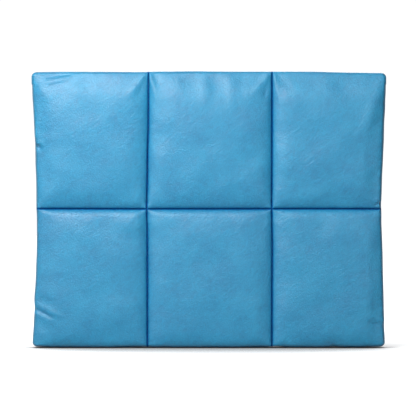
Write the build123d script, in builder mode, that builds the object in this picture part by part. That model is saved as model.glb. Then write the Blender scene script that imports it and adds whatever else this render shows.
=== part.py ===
"""Padded laptop sleeve, quilted in three columns and two rows, with a zip along the top.

Frame: millimetres, +Z up. The origin is the bottom centre of the sleeve. X is the width, the front
panel faces -Y, the zip is at the top and closes towards +X.

From the outside in, each half of the sleeve is: a leather-look panel quilted into six puffs, six
fibre pads, a scrim the quilting is sewn to, a foam sheet, and the pocket lining. The two halves are
sewn together down the sides and along the bottom, with the seam allowance turned in and bound.

Front pieces are modelled on Plane.XZ, where an offset is a distance from the middle plane towards
the front. The back pieces mirror them.
"""

import os

from build123d import *

os.makedirs("parts", exist_ok=True)

# ---- overall size
HEIGHT = 276.0  # bottom edge to top lip
HALF_CORNER = 176.0  # half width at the corners
HALF_WAIST = 171.8  # half width at mid height, where the quilting draws the sides in
HALF_DEPTH = 20.0  # middle plane to the crown of a puff
CORNER_R = 4.5
CUT_W = 2 * HALF_CORNER + 20  # cutters of this width clear both sides

# ---- quilting
SEAM_X = (-61.0, 63.0)  # the two upright seams
SEAM_Z = 139.0  # the cross seam
VALLEY = 10.2  # middle plane to the panel's surface at a seam
# a puff's side, as (distance from the middle plane, inset from the cell's edge, corner radius)
PUFF = (
    (9.4, 0.45, 3.5),
    (12.0, 0.8, 4.5),
    (14.8, 2.2, 6.5),
    (17.0, 5.0, 9.5),
    (18.6, 9.6, 14.0),
    (19.6, 16.5, 18.0),
    (HALF_DEPTH, 25.0, 22.0),
)

# ---- layers of one half; pairs are from and to, measured from the middle plane
SKIN = 0.9  # leather-look panel
MID = 0.15  # each half stops this far from the middle plane
POCKET_HALF = 6.0  # half the pocket's depth
LINING = 0.6
FOAM = (6.7, 8.7)
SCRIM = (8.8, 9.2)
PAD_START = 9.3
PAD_GAP = 0.35  # pad to panel

# ---- pocket
LINING_HALF_W = 158.6
LINING_BOTTOM = 14.0
LINING_TOP = 262.6
FOAM_HALF_W = 160.0
FOAM_BOTTOM = LINING_BOTTOM - 1
FOAM_TOP = LINING_TOP - 0.6

# ---- seam allowance
ALLOWANCE = 9.0
SEAM_TOP = 255.0

# ---- mouth
MOUTH_HALF = 7.0  # half the gap between the two lips
MOUTH_FLOOR = 264.0  # the hem the zip tape is sewn to
MOUTH_CUT_H = 40.0
HEM_INNER = 5.2
HEM_SLOT_H = 6.0
MOUTH_HALF_W = 158.4


def write(part, name):
    part.label = name
    export_step(part, f"parts/{name}.step")


def write_mirrored(part, name, about):
    with BuildPart() as copy:
        add(mirror(part, about=about))
    write(copy.part, name)


def write_front_and_back(part, name):
    """Write a front piece and its mirror image at the back."""
    write(part, f"front_{name}")
    write_mirrored(part, f"back_{name}", Plane.XZ)


# ---------------------------------------------------------------- outlines and puffs
def outline(inset, corner):
    """The sleeve's front view, set in by inset, with sides that draw in towards the waist."""
    wide, waist, top = HALF_CORNER - inset, HALF_WAIST - inset, HEIGHT - inset
    with BuildSketch() as face:
        with BuildLine():
            Line((-wide, inset), (wide, inset))
            ThreePointArc((wide, inset), (waist, HEIGHT / 2), (wide, top))
            Line((wide, top), (-wide, top))
            ThreePointArc((-wide, top), (-waist, HEIGHT / 2), (-wide, inset))
        make_face()
        if corner > 0:
            fillet(face.vertices(), radius=corner)
    return face.sketch


# The outer cells reach past the sleeve and are trimmed by its outline
CELL_OVER = 5.0
EDGES_X = (-HALF_CORNER - CELL_OVER, *SEAM_X, HALF_CORNER + CELL_OVER)
EDGES_Z = (-CELL_OVER, SEAM_Z, HEIGHT + CELL_OVER)
# Each cell of the quilting, by name: (left, right, bottom, top)
CELLS = {
    f"{row}_{column}": (EDGES_X[i], EDGES_X[i + 1], EDGES_Z[j], EDGES_Z[j + 1])
    for j, row in enumerate(("bottom", "top"))
    for i, column in enumerate(("left", "centre", "right"))
}


def cell_face(cell, inset, corner):
    """A cell's outline: the sleeve's own edge outside, straight seams inside."""
    left, right, bottom, top = cell
    with BuildSketch() as face:
        add(outline(inset, 0))
        with Locations(((left + right) / 2, (bottom + top) / 2)):
            Rectangle(right - left - 2 * inset, top - bottom - 2 * inset, mode=Mode.INTERSECT)
        fillet(face.vertices(), radius=corner)
    return face.sketch


def puff(cell, levels):
    """A crowned pad through the given levels, on the front side."""
    with BuildPart() as body:
        for depth, inset, corner in levels:
            with BuildSketch(Plane.XZ.offset(depth)):
                add(cell_face(cell, inset, corner))
        loft(ruled=True)
    return body.part


def half_body(shift):
    """Everything inside the front half's surface, set in by shift."""
    levels = [(d - shift, i + shift, max(c - shift, 2.0)) for d, i, c in PUFF]
    # a set-in body is a cutter, so it runs on to the middle plane
    start = MID if shift == 0 else 0
    with BuildPart() as body:
        with BuildSketch(Plane.XZ.offset(start)):
            add(outline(shift, CORNER_R - shift))
        extrude(amount=VALLEY - shift - start)
        for cell in CELLS.values():
            add(puff(cell, levels))
    return body.part


# ---------------------------------------------------------------- quilted panels
with BuildPart() as outside:
    add(half_body(0))
    with Locations((0, 0, MOUTH_FLOOR + MOUTH_CUT_H / 2)):
        Box(CUT_W, 2 * MOUTH_HALF, MOUTH_CUT_H, mode=Mode.SUBTRACT)

with BuildPart() as inside:
    add(half_body(SKIN))
    with Locations((0, 0, MOUTH_FLOOR - SKIN + MOUTH_CUT_H / 2)):
        Box(CUT_W, 2 * (MOUTH_HALF + SKIN), MOUTH_CUT_H, mode=Mode.SUBTRACT)

with BuildPart() as shell:
    add(outside.part)
    add(inside.part, mode=Mode.SUBTRACT)
    # the zip and its slider come up through this slot in the hem
    with Locations((0, 0, MOUTH_FLOOR - 0.5)):
        Box(2 * MOUTH_HALF_W, 2 * HEM_INNER, HEM_SLOT_H, mode=Mode.SUBTRACT)
    # the seam allowance, turned in along the sides and the bottom; it overlaps the skin by 0.3
    with BuildSketch(Plane.XZ.offset(MID)):
        add(outline(SKIN - 0.3, CORNER_R - SKIN))
        add(outline(SKIN + ALLOWANCE, 1.0), mode=Mode.SUBTRACT)
        with Locations((0, SEAM_TOP + 50)):
            Rectangle(CUT_W, 100, mode=Mode.SUBTRACT)
    extrude(amount=SKIN)
write_front_and_back(shell.part, "shell")

# ---------------------------------------------------------------- the twelve fibre pads
PAD_INSET = SKIN + PAD_GAP
PAD_LEVELS = [(PAD_START, PUFF[0][1] + PAD_INSET, 3.0)] + [
    (d - PAD_INSET, i + PAD_INSET, max(c - SKIN, 2.5)) for d, i, c in PUFF[1:]
]
for cell_name, cell in CELLS.items():
    with BuildPart() as pad:
        add(puff(cell, PAD_LEVELS))
    write_front_and_back(pad.part, f"pad_{cell_name}")

# ---------------------------------------------------------------- scrim, foam and lining
with BuildPart() as scrim:
    with BuildSketch(Plane.XZ.offset(SCRIM[0])):
        add(outline(1.5, 3.0))
    extrude(amount=SCRIM[1] - SCRIM[0])
write_front_and_back(scrim.part, "scrim")

with BuildPart() as foam:
    with BuildSketch(Plane.XZ.offset(FOAM[0])):
        with Locations((0, (FOAM_BOTTOM + FOAM_TOP) / 2)):
            RectangleRounded(2 * FOAM_HALF_W, FOAM_TOP - FOAM_BOTTOM, 6)
    extrude(amount=FOAM[1] - FOAM[0])
write_front_and_back(foam.part, "foam")

HOLLOW_BOTTOM = LINING_BOTTOM + LINING
HOLLOW_TOP = LINING_TOP + 10  # past the lining, to open the mouth
with BuildPart() as lining:
    with BuildSketch(Plane.XZ.offset(MID)):
        with Locations((0, (LINING_BOTTOM + LINING_TOP) / 2)):
            Rectangle(2 * LINING_HALF_W, LINING_TOP - LINING_BOTTOM)
    extrude(amount=POCKET_HALF + LINING - MID)
    # the hollow of the pocket, open at the mouth and on the middle plane
    with BuildSketch(Plane.XZ):
        with Locations((0, (HOLLOW_BOTTOM + HOLLOW_TOP) / 2)):
            Rectangle(2 * (LINING_HALF_W - LINING), HOLLOW_TOP - HOLLOW_BOTTOM)
    extrude(amount=POCKET_HALF, mode=Mode.SUBTRACT)
write_front_and_back(lining.part, "lining")

# ---------------------------------------------------------------- bindings over the seam allowance
BINDING_IN, BINDING_OUT = 6.5, 10.6  # insets of its two edges from the sleeve's outline
BINDING_T = 3.5  # over both allowances
CHANNEL_T = 2.4  # the channel that takes the allowances
SIDE_BOTTOM = 12.0
SIDE_H = SEAM_TOP - 1 - SIDE_BOTTOM
BOTTOM_HALF_W = 150.0
BOTTOM_H = 16.0

with BuildPart() as all_binding:
    with BuildSketch(Plane.XZ.offset(-BINDING_T / 2)):
        add(outline(BINDING_IN, 2.0))
        add(outline(BINDING_OUT, 1.0), mode=Mode.SUBTRACT)
    extrude(amount=BINDING_T)
    with BuildSketch(Plane.XZ.offset(-CHANNEL_T / 2)):
        add(outline(BINDING_IN - 1, 2.0))
        add(outline(BINDING_OUT - 0.5, 1.0), mode=Mode.SUBTRACT)
    extrude(amount=CHANNEL_T, mode=Mode.SUBTRACT)

with BuildPart() as side_binding:
    add(all_binding.part)
    with Locations((-HALF_CORNER + 10, 0, SIDE_BOTTOM + SIDE_H / 2)):
        Box(30, 10, SIDE_H, mode=Mode.INTERSECT)
write(side_binding.part, "left_seam_binding")
write_mirrored(side_binding.part, "right_seam_binding", Plane.YZ)

with BuildPart() as bottom_binding:
    add(all_binding.part)
    with Locations((0, 0, BOTTOM_H / 2)):
        Box(2 * BOTTOM_HALF_W, 10, BOTTOM_H, mode=Mode.INTERSECT)
write(bottom_binding.part, "bottom_seam_binding")

# ---------------------------------------------------------------- quilting thread, in the seams
THREAD_R = 0.35
THREAD_Y = -(VALLEY + THREAD_R + 0.02)  # just clear of the panel
THREAD_END_Z = 2.5  # upright threads stop this far from the bottom and the top
THREAD_HALF_W = HALF_WAIST - 3

with BuildPart() as thread:
    for x in SEAM_X:
        with BuildSketch(Plane.XY.offset(THREAD_END_Z)):
            with Locations((x, THREAD_Y)):
                Circle(THREAD_R)
        extrude(amount=HEIGHT - 2 * THREAD_END_Z)
    with BuildSketch(Plane.YZ.offset(-THREAD_HALF_W)):
        with Locations((THREAD_Y, SEAM_Z)):
            Circle(THREAD_R)
    extrude(amount=2 * THREAD_HALF_W)
write_front_and_back(thread.part, "quilting_thread")

# ---------------------------------------------------------------- zip tapes, coils, stops, end tabs
TAPE_Z = 264.05  # underside
TAPE = 0.5  # thickness
TAPE_IN, TAPE_OUT = 0.8, 6.9  # from and to, measured from the middle plane
TAPE_HALF_W = 170.0
COIL_IN, COIL_OUT = 0.45, 2.5
COIL_Z, COIL_H = 264.6, 2.0
COIL_HALF_W = 152.0
STOP = 2.4  # length and height of a stop
STOP_X = COIL_HALF_W + 1.6
STOP_Z = COIL_Z + STOP / 2
TOP_STOP_Y, TOP_STOP_W = 1.6, 2.3
BOTTOM_STOP_W = 5.4
END_TAB_LEN, END_TAB_T = 15.0, 1.2
STITCH_R = 0.25
STITCH_Y = -5.9
STITCH_Z = COIL_Z + 0.27
STITCH_HALF_W = TAPE_HALF_W - 15

with BuildPart() as tape:
    with Locations((0, -(TAPE_IN + TAPE_OUT) / 2, TAPE_Z + TAPE / 2)):
        Box(2 * TAPE_HALF_W, TAPE_OUT - TAPE_IN, TAPE)
write_front_and_back(tape.part, "zip_tape")

with BuildPart() as coil:
    with Locations((0, -(COIL_IN + COIL_OUT) / 2, COIL_Z + COIL_H / 2)):
        Box(2 * COIL_HALF_W, COIL_OUT - COIL_IN, COIL_H)
    fillet(coil.edges().filter_by(Axis.X), radius=0.7)
write_front_and_back(coil.part, "zip_coil")

# top stops at the closed end (+X), one per coil
with BuildPart() as top_stops:
    with Locations((STOP_X, -TOP_STOP_Y, STOP_Z), (STOP_X, TOP_STOP_Y, STOP_Z)):
        Box(STOP, TOP_STOP_W, STOP)
    fillet(top_stops.edges().filter_by(Axis.X), radius=0.5)
write(top_stops.part, "zip_top_stops")

# bottom stop at the other end (-X), across both coils
with BuildPart() as bottom_stop:
    with Locations((-STOP_X, 0, STOP_Z)):
        Box(STOP, BOTTOM_STOP_W, STOP)
    fillet(bottom_stop.edges().filter_by(Axis.X), radius=0.6)
write(bottom_stop.part, "zip_bottom_stop")

with BuildPart() as end_tab:
    with BuildSketch(Plane.XY.offset(COIL_Z)):
        with Locations((COIL_HALF_W + 12, 0)):
            RectangleRounded(END_TAB_LEN, 2 * TAPE_OUT - 0.4, 1.5)
    extrude(amount=END_TAB_T)
write(end_tab.part, "zip_end_tab_right")
write_mirrored(end_tab.part, "zip_end_tab_left", Plane.YZ)

with BuildPart() as stitching:
    with BuildSketch(Plane.YZ.offset(-STITCH_HALF_W)):
        with Locations((STITCH_Y, STITCH_Z)):
            Circle(STITCH_R)
    extrude(amount=2 * STITCH_HALF_W)
write_front_and_back(stitching.part, "zip_stitching")

# ---------------------------------------------------------------- slider body and its pin
SLIDER_X = 145.5  # the slider's middle when the zip is closed
SLIDER_LEN = 11.0
SLIDER_HALF_W = 4.4
LOWER_Z, UPPER_Z = 262.85, 266.9  # undersides of the two wings
PLATE = 1.05  # wing thickness
WING_R = 2.4
LIP_W, LIP_H = 1.2, 2.0
LIP_Y = SLIDER_HALF_W - LIP_W / 2
LIP_Z = UPPER_Z + 0.1 - LIP_H / 2  # sunk 0.1 into the upper wing
DIVIDER_LEN, DIVIDER_W = 3.6, 0.5
PIN_Z = 269.7
PIN_R = 0.6
PIN_HALF_LEN = 2.9
LUG_R = 1.5
LUG_T = 1.0
LUG_Y = 2.1
LUG_FOOT = UPPER_Z + PLATE - 0.2  # sunk 0.2 into the upper wing

with BuildPart() as slider:
    # the lower wing runs under the tapes, the upper one over the coils
    for wing_z in (LOWER_Z, UPPER_Z):
        with BuildSketch(Plane.XY.offset(wing_z)) as wing:
            with Locations((SLIDER_X, 0)):
                Rectangle(SLIDER_LEN, 2 * SLIDER_HALF_W)
            fillet(wing.vertices(), radius=WING_R)
        extrude(amount=PLATE)
    # a lip down each side of the upper wing, outside the coils
    with Locations((SLIDER_X, LIP_Y, LIP_Z), (SLIDER_X, -LIP_Y, LIP_Z)):
        Box(SLIDER_LEN - 2 * WING_R, LIP_W, LIP_H)
    # the divider that joins the wings between the two coils
    with Locations((SLIDER_X + 3.2, 0, (LOWER_Z + UPPER_Z + PLATE) / 2)):
        Box(DIVIDER_LEN, DIVIDER_W, UPPER_Z - LOWER_Z)
    # two lugs that hold the pin
    for y in (-LUG_Y, LUG_Y):
        with BuildSketch(Plane.XZ.offset(-y - LUG_T / 2)):
            with Locations((SLIDER_X, PIN_Z)):
                Circle(LUG_R)
            with Locations((SLIDER_X, (PIN_Z + LUG_FOOT) / 2)):
                Rectangle(2 * LUG_R, PIN_Z - LUG_FOOT)
            with Locations((SLIDER_X, PIN_Z)):
                Circle(PIN_R + 0.01, mode=Mode.SUBTRACT)
        extrude(amount=LUG_T)
write(slider.part, "slider_body")

with BuildPart() as pin:
    with BuildSketch(Plane.XZ.offset(-PIN_HALF_LEN)):
        with Locations((SLIDER_X, PIN_Z)):
            Circle(PIN_R)
    extrude(amount=2 * PIN_HALF_LEN)
write(pin.part, "puller_pin")

# ---------------------------------------------------------------- puller: metal link, leather tab, rivet
# It lies flat from the pin towards -X.
LINK_REACH = 15.0  # pin to the link's far end
LINK_T = 0.9
EYE_R = 1.35  # the barrel around the pin
NECK_LEN, NECK_W = 7.2, 3.0
TANG_LEN, TANG_W = 8.5, 7.0  # the wide end, inside the tab
TAB_LEN = 31.0  # the tab's reach beyond the link
TAB_W, TAB_T = 9.0, 2.5
TAB_START = SLIDER_X - 7.6
TAB_END = SLIDER_X - LINK_REACH - TAB_LEN
SLIT_LEN = 9.0
SLIT_X = SLIDER_X - LINK_REACH - 0.4 + SLIT_LEN / 2  # its middle; 0.4 clear of the tang's end
RIVET_X = SLIDER_X - 11.5
RIVET_R, RIVET_LEN = 1.2, 2.6
RIVET_HOLE_R = RIVET_R + 0.02
HEAD_R, HEAD_T = 2.0, 0.5
HEAD_OFFSET = (RIVET_LEN + HEAD_T) / 2

with BuildPart() as link:
    with BuildSketch(Plane.XZ.offset(-NECK_W / 2)):
        with Locations((SLIDER_X, PIN_Z)):
            Circle(EYE_R)
    extrude(amount=NECK_W)
    with BuildSketch(Plane.XY.offset(PIN_Z - LINK_T / 2)) as tang:
        with Locations((SLIDER_X - NECK_LEN / 2, 0)):
            Rectangle(NECK_LEN, NECK_W)
        with Locations((SLIDER_X - LINK_REACH + TANG_LEN / 2, 0)):
            Rectangle(TANG_LEN, TANG_W)
        fillet(tang.vertices().sort_by(Axis.X)[:2], radius=1.2)
    extrude(amount=LINK_T)
    with BuildSketch(Plane.XZ.offset(-2)):
        with Locations((SLIDER_X, PIN_Z)):
            Circle(PIN_R + 0.05)
    extrude(amount=4, mode=Mode.SUBTRACT)
    with Locations((RIVET_X, 0, PIN_Z)):
        Cylinder(RIVET_HOLE_R, 4, mode=Mode.SUBTRACT)
write(link.part, "pull_link")

with BuildPart() as tab:
    with BuildSketch(Plane.XY.offset(PIN_Z - TAB_T / 2)) as strap:
        with Locations(((TAB_END + TAB_START) / 2, 0)):
            Rectangle(TAB_START - TAB_END, TAB_W)
        fillet(strap.vertices(), radius=2.2)
    extrude(amount=TAB_T)
    fillet(tab.edges().filter_by(Plane.XY), radius=0.35)
    # the slit the metal tang is pushed into
    with Locations((SLIT_X, 0, PIN_Z)):
        Box(SLIT_LEN, TANG_W + 0.1, LINK_T + 0.06, mode=Mode.SUBTRACT)
    with Locations((RIVET_X, 0, PIN_Z)):
        Cylinder(RIVET_HOLE_R, 6, mode=Mode.SUBTRACT)
write(tab.part, "pull_tab")

with BuildPart() as rivet:
    with Locations((RIVET_X, 0, PIN_Z)):
        Cylinder(RIVET_R, RIVET_LEN)
    with Locations((RIVET_X, 0, PIN_Z + HEAD_OFFSET), (RIVET_X, 0, PIN_Z - HEAD_OFFSET)):
        Cylinder(HEAD_R, HEAD_T)
    fillet(rivet.faces().sort_by(Axis.Z)[-1].edges(), radius=0.3)
    fillet(rivet.faces().sort_by(Axis.Z)[0].edges(), radius=0.3)
write(rivet.part, "pull_tab_rivet")
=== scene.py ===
"""A quilted leather sleeve with a zip along its top, standing upright.

x runs across the front (left is -x), y through the depth (the front is at -y) and z up. The two
covers meet in the plane y = 0. Each has three columns and two rows of padded fields, and its top
turns down into the trench that holds the zip. Points are in millimetres until make_object.
"""
import math

import bpy
import numpy as np
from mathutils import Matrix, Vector

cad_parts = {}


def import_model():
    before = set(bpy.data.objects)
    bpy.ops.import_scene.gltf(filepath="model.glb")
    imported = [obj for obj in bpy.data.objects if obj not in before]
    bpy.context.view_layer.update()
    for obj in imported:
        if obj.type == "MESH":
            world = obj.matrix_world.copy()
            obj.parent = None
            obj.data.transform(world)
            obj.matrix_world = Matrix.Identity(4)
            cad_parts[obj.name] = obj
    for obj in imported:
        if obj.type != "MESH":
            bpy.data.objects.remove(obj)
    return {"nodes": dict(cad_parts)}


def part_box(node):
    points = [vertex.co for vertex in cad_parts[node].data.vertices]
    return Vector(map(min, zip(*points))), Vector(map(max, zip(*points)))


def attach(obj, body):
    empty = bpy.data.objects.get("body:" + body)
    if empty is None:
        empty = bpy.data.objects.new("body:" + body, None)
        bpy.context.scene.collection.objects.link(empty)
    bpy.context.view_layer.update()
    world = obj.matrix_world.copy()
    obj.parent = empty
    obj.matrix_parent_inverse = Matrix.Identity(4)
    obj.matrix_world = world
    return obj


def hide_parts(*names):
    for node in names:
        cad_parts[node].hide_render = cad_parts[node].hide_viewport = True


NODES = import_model()["nodes"]
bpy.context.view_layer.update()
MM = 0.001


# ---------------------------------------------------------------- curves and noise
class Waves:
    """Smooth seeded noise with unit deviation: a sum of plane waves of about one length."""

    def __init__(self, seed, length, count=44, stretch=(1.0, 1.0)):
        random = np.random.RandomState(seed)
        angle = random.uniform(0, 2 * math.pi, count)
        number = 2 * math.pi / (length * random.uniform(0.6, 1.4, count))
        self.number_x = number * np.cos(angle) / stretch[0]
        self.number_z = number * np.sin(angle) / stretch[1]
        self.phase = random.uniform(0, 2 * math.pi, count)
        self.height = random.uniform(0.5, 1.5, count)
        self.height *= math.sqrt(2) / np.sqrt((self.height**2).sum())

    def __call__(self, x, z):
        out = np.zeros(np.broadcast(x, z).shape)
        waves = zip(self.number_x, self.number_z, self.phase, self.height)
        for number_x, number_z, phase, height in waves:
            out += height * np.sin(number_x * x + number_z * z + phase)
        return out


TABLE_STEP = 0.5
ALONG_Z = np.arange(-60.0, 340.0, TABLE_STEP)
ALONG_X = np.arange(-260.0, 260.0, TABLE_STEP)


def smooth_table(grid, sigma, points):
    """A function through (place, value) points, smoothed over sigma millimetres."""
    points = sorted(points)
    values = np.interp(grid, [p[0] for p in points], [p[1] for p in points])
    reach = int(4 * sigma / TABLE_STEP)
    kernel = np.exp(-0.5 * (np.arange(-reach, reach + 1) * TABLE_STEP / sigma) ** 2)
    values = np.convolve(np.pad(values, reach, mode="edge"), kernel / kernel.sum(), mode="valid")
    return lambda place: np.interp(place, grid, values)


def smoothstep(start, end, value):
    u = np.clip((value - start) / (end - start), 0, 1)
    return u * u * (3 - 2 * u)


def quarter_round(u):
    """The rise of a quarter circle, 0 to 1 over u = 0 to 1."""
    return np.sqrt(np.clip(1 - (1 - np.clip(u, 0, 1)) ** 2, 0, 1))


# ---------------------------------------------------------------- meshes
def quads(rows, columns):
    first = (np.arange(rows - 1)[:, None] * columns + np.arange(columns - 1)[None, :]).ravel()
    return np.stack([first, first + 1, first + columns + 1, first + columns], 1)


def normals_of(points, faces):
    normals = np.zeros_like(points)
    a, b, c, d = (points[faces[:, k]] for k in range(4))
    face_normals = np.cross(c - a, d - b)
    for k in range(4):
        np.add.at(normals, faces[:, k], face_normals)
    return normals / np.maximum(np.linalg.norm(normals, axis=1, keepdims=True), 1e-12)


def sheet_normals(sheet):
    """Normals of a grid of points, in the grid's own shape."""
    return normals_of(sheet.reshape(-1, 3), quads(*sheet.shape[:2])).reshape(sheet.shape)


def make_object(name, points, faces, material=None):
    """A smooth-shaded mesh object from millimetre points."""
    mesh = bpy.data.meshes.new(name)
    mesh.from_pydata(
        (np.asarray(points, float) * MM).tolist(), [], [list(map(int, face)) for face in faces])
    mesh.update()
    mesh.polygons.foreach_set("use_smooth", [True] * len(mesh.polygons))
    ob = bpy.data.objects.new(name, mesh)
    bpy.context.scene.collection.objects.link(ob)
    if material is not None:
        mesh.materials.append(material)
    return ob


def piece(name, mesh, material, replaced=None, body="sleeve"):
    """A finished piece from (points, faces), with the given material in its one slot."""
    ob = make_object(name, *mesh, MATERIALS[material])
    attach(ob, body)
    if replaced:
        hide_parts(replaced)
    return ob


def on_side(side, points, faces):
    """A mesh built for the front, mirrored through y = 0 if it is for the back."""
    if side == "front":
        return points, faces
    return points * np.array([1, -1, 1]), [tuple(reversed(face)) for face in faces]


def solidify(points, faces, thickness):
    """The closed shell between a sheet of quads and its inner offset."""
    inner = points - normals_of(points, faces) * thickness
    count = len(points)
    open_edges = {}
    for face in faces:
        for k in range(4):
            a, b = int(face[k]), int(face[(k + 1) % 4])
            if (b, a) in open_edges:
                del open_edges[(b, a)]
            else:
                open_edges[(a, b)] = True
    rim = [(b, a, a + count, b + count) for a, b in open_edges]
    faces = np.vstack([faces, faces[:, ::-1] + count, np.array(rim, int)])
    return np.vstack([points, inner]), faces


def plate(outer, inner):
    """A closed solid between two grids of points."""
    rows, columns = outer.shape[:2]
    count = rows * columns
    sheet = quads(rows, columns)
    faces = [*sheet, *(sheet[:, ::-1] + count)]
    rim = list(range(columns)) + [k * columns + columns - 1 for k in range(1, rows)]
    rim += [(rows - 1) * columns + k for k in range(columns - 2, -1, -1)]
    rim += [k * columns for k in range(rows - 2, 0, -1)]
    for a, b in zip(rim, rim[1:] + rim[:1]):
        faces.append((b, a, a + count, b + count))
    return np.vstack([outer.reshape(-1, 3), inner.reshape(-1, 3)]), faces


def loft(rings, flip=False):
    """Equal rings of points joined by quads and capped. flip turns every face over."""
    count = len(rings[0])
    faces = []
    for k in range(len(rings) - 1):
        for j in range(count):
            a, b = k * count + j, k * count + (j + 1) % count
            quad = (a, a + count, b + count, b) if flip else (a, b, b + count, a + count)
            faces.append(quad)
    order = 1 if flip else -1
    last = (len(rings) - 1) * count
    faces.append(tuple(range(count))[::order])
    faces.append(tuple(range(last, last + count))[::-order])
    return np.vstack(rings), faces


def tube(path, radii, sides, up, squash=1.0, twist=0.0):
    """A capped tube along a path. twist turns its oval section, in radians per point."""
    tangent = np.gradient(path, axis=0)
    tangent /= np.linalg.norm(tangent, axis=1, keepdims=True)
    across = np.cross(tangent, np.array(up, float))
    across /= np.linalg.norm(across, axis=1, keepdims=True)
    over = np.cross(across, tangent)
    angle = np.arange(sides) * 2 * math.pi / sides
    x, y = np.cos(angle), np.sin(angle) * squash
    rings = []
    for k in range(len(path)):
        cos, sin = math.cos(twist * k), math.sin(twist * k)
        turned_x, turned_y = x * cos - y * sin, x * sin + y * cos
        section = turned_x[:, None] * across[k] + turned_y[:, None] * over[k]
        rings.append(path[k] + radii[k] * section)
    return loft(rings, flip=True)


def joined(parts):
    points, faces, count = [], [], 0
    for part_points, part_faces in parts:
        points.append(part_points)
        faces += [tuple(int(i) + count for i in face) for face in part_faces]
        count += len(part_points)
    return np.vstack(points), faces


# ---------------------------------------------------------------- the sleeve's plan
(X_LO, _, Z_LO), (X_HI, _, Z_HI) = (
    tuple(q / MM for q in corner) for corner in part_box("front_shell"))

# How far the leather's edge lies inside the box of the frame's shell; below 0 it stands proud.
# Left and right are (z, inset), top and bottom (x, inset).
INSET_LEFT = smooth_table(ALONG_Z, 2.6, [
    (275, -1.34), (262, -1.14), (250, -0.84), (244, -0.34), (232, 0.36), (220, 0.96),
    (213, 1.16), (208, 1.86), (196, 2.06), (184, 2.16), (172, 2.76), (160, 3.06), (140, 3.06),
    (131, 3.56), (110, 3.66), (95, 3.46), (82, 2.86), (70, 2.56), (59, 1.86), (52, 1.16),
    (46, 0.86), (40, 1.56), (34, 0.96), (22, 0.36), (16, -0.04), (4, -0.84), (0, -0.94)])
INSET_RIGHT = smooth_table(ALONG_Z, 2.6, [
    (275, -2.04), (256, -2.04), (250, -1.54), (238, -1.34), (226, -0.44), (208, -0.14),
    (196, 0.46), (184, 0.96), (172, 1.66), (154, 2.06), (148, 2.46), (142, 2.86), (136, 2.26),
    (124, 2.36), (112, 1.76), (94, 1.06), (76, 0.86), (58, 0.36), (46, -0.04), (34, -0.24),
    (28, -0.54), (22, -0.24), (10, -1.04), (0, -1.14)])
INSET_TOP = smooth_table(ALONG_X, 5, [
    (-176, 0.7), (-160, 0.3), (-136, 0.1), (-80, 0.3), (-64, 0.4), (-55, -0.1), (-12, -0.5),
    (20, -0.1), (60, -0.1), (100, -0.1), (115, 0.2), (140, 0.9), (165, 1.2), (177, 1.3)])
INSET_BOTTOM = smooth_table(ALONG_X, 2.4, [
    (-176, 0.78), (-160, 0.28), (-140, 0.03), (-100, -0.02), (-62, 0.48), (-50, -0.02),
    (30, -0.02), (58, 0.28), (68, 0.78), (80, 0.03), (110, -0.02), (125, 0.58), (135, 0.03),
    (176, 0.68)])
# The upright quilting seams, (z, x), and the level one, (x, z)
LEFT_SEAM = smooth_table(ALONG_Z, 6.0, [
    (276, -60.0), (220, -60.0), (200, -60.7), (160, -61.2), (139, -61.9), (120, -61.1),
    (80, -61.0), (0, -61.0)])
RIGHT_SEAM = smooth_table(ALONG_Z, 6.0, [
    (276, 63.5), (200, 63.5), (139, 63.2), (100, 63.8), (60, 63.5), (0, 63.4)])
CROSS_SEAM = smooth_table(ALONG_X, 8.0, [
    (-176, 138.9), (-100, 138.6), (0, 138.6), (100, 138.8), (176, 138.6)])


def top_edge(x):
    return Z_HI - INSET_TOP(x)


# Straight field bounds, in which all distances on the sheet are measured
FIELDS_X = (-175.0, -61.0, 63.5, 175.0)
FIELDS_Z = (0.0, 138.7, 275.7)
FAR = 99.0           # stands for a distance to an edge that the field does not touch
CORNER = 5.0         # radius of the outline's corners

# Depths from the middle plane
VALLEY, CROWN = 10.2, 19.6
MEETING_DEPTH = 0.25  # where the covers meet at the sides and bottom
LIP_DEPTH = 8.0
WALL_DEPTH = 7.0      # the trench's wall
TRENCH_FLOOR = 264.0  # height of the trench's floor

SIM_STEP = 3.0        # grid of the cloth simulation
WRINKLE_SHARE = 0.30  # part of the simulated wrinkles that is used

# Extra grid positions in each field and the gap they need: (positions, gap)
RIGHT_WIDTH = FIELDS_X[3] - FIELDS_X[2]
TOP_HEIGHT = FIELDS_Z[2] - FIELDS_Z[1]
EXTRA_COLUMNS = (
    ([0.05, 0.13], 0.3),
    ([], 0.3),
    ([RIGHT_WIDTH - 0.13, RIGHT_WIDTH - 0.05], 0.3))
EXTRA_ROWS = (
    ([0.05, 0.13, *np.arange(28.0, 43.0, 1.2)], 0.5),
    ([TOP_HEIGHT - d for d in (12.3, 11.9, 11.5, 11.1, 10.7)], 0.35))


def spaced(width, first=0.22, growth=0.17, last=2.15):
    """Distances from one side of a field to its other side, fine at both."""
    distance, out = 0.0, [0.0]
    while distance < width / 2:
        distance += min(last, first + growth * distance)
        out.append(distance)
    out = np.array(out) * (width / 2 / out[-1])
    return np.concatenate([out, width - out[-2::-1]])


def merged(base, extra, gap):
    """base with extra positions put in, dropping base positions that come too close to them."""
    keep = [b for b in base if b in (base[0], base[-1]) or all(abs(b - e) > gap for e in extra)]
    return np.array(sorted(keep + extra))


def grid_places(bounds, extras, step=None):
    """For each grid line: its field and its distance into it. step asks for an even grid."""
    fields, places = [], []
    for field, (extra, gap) in enumerate(extras):
        size = bounds[field + 1] - bounds[field]
        if step:
            inside = np.linspace(0, size, int(round(size / step)) + 1)
        else:
            inside = merged(spaced(size), extra, gap)
        if field < len(extras) - 1:
            inside = inside[:-1]
        fields += [field] * len(inside)
        places += list(inside)
    return np.array(fields), np.array(places)


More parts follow.
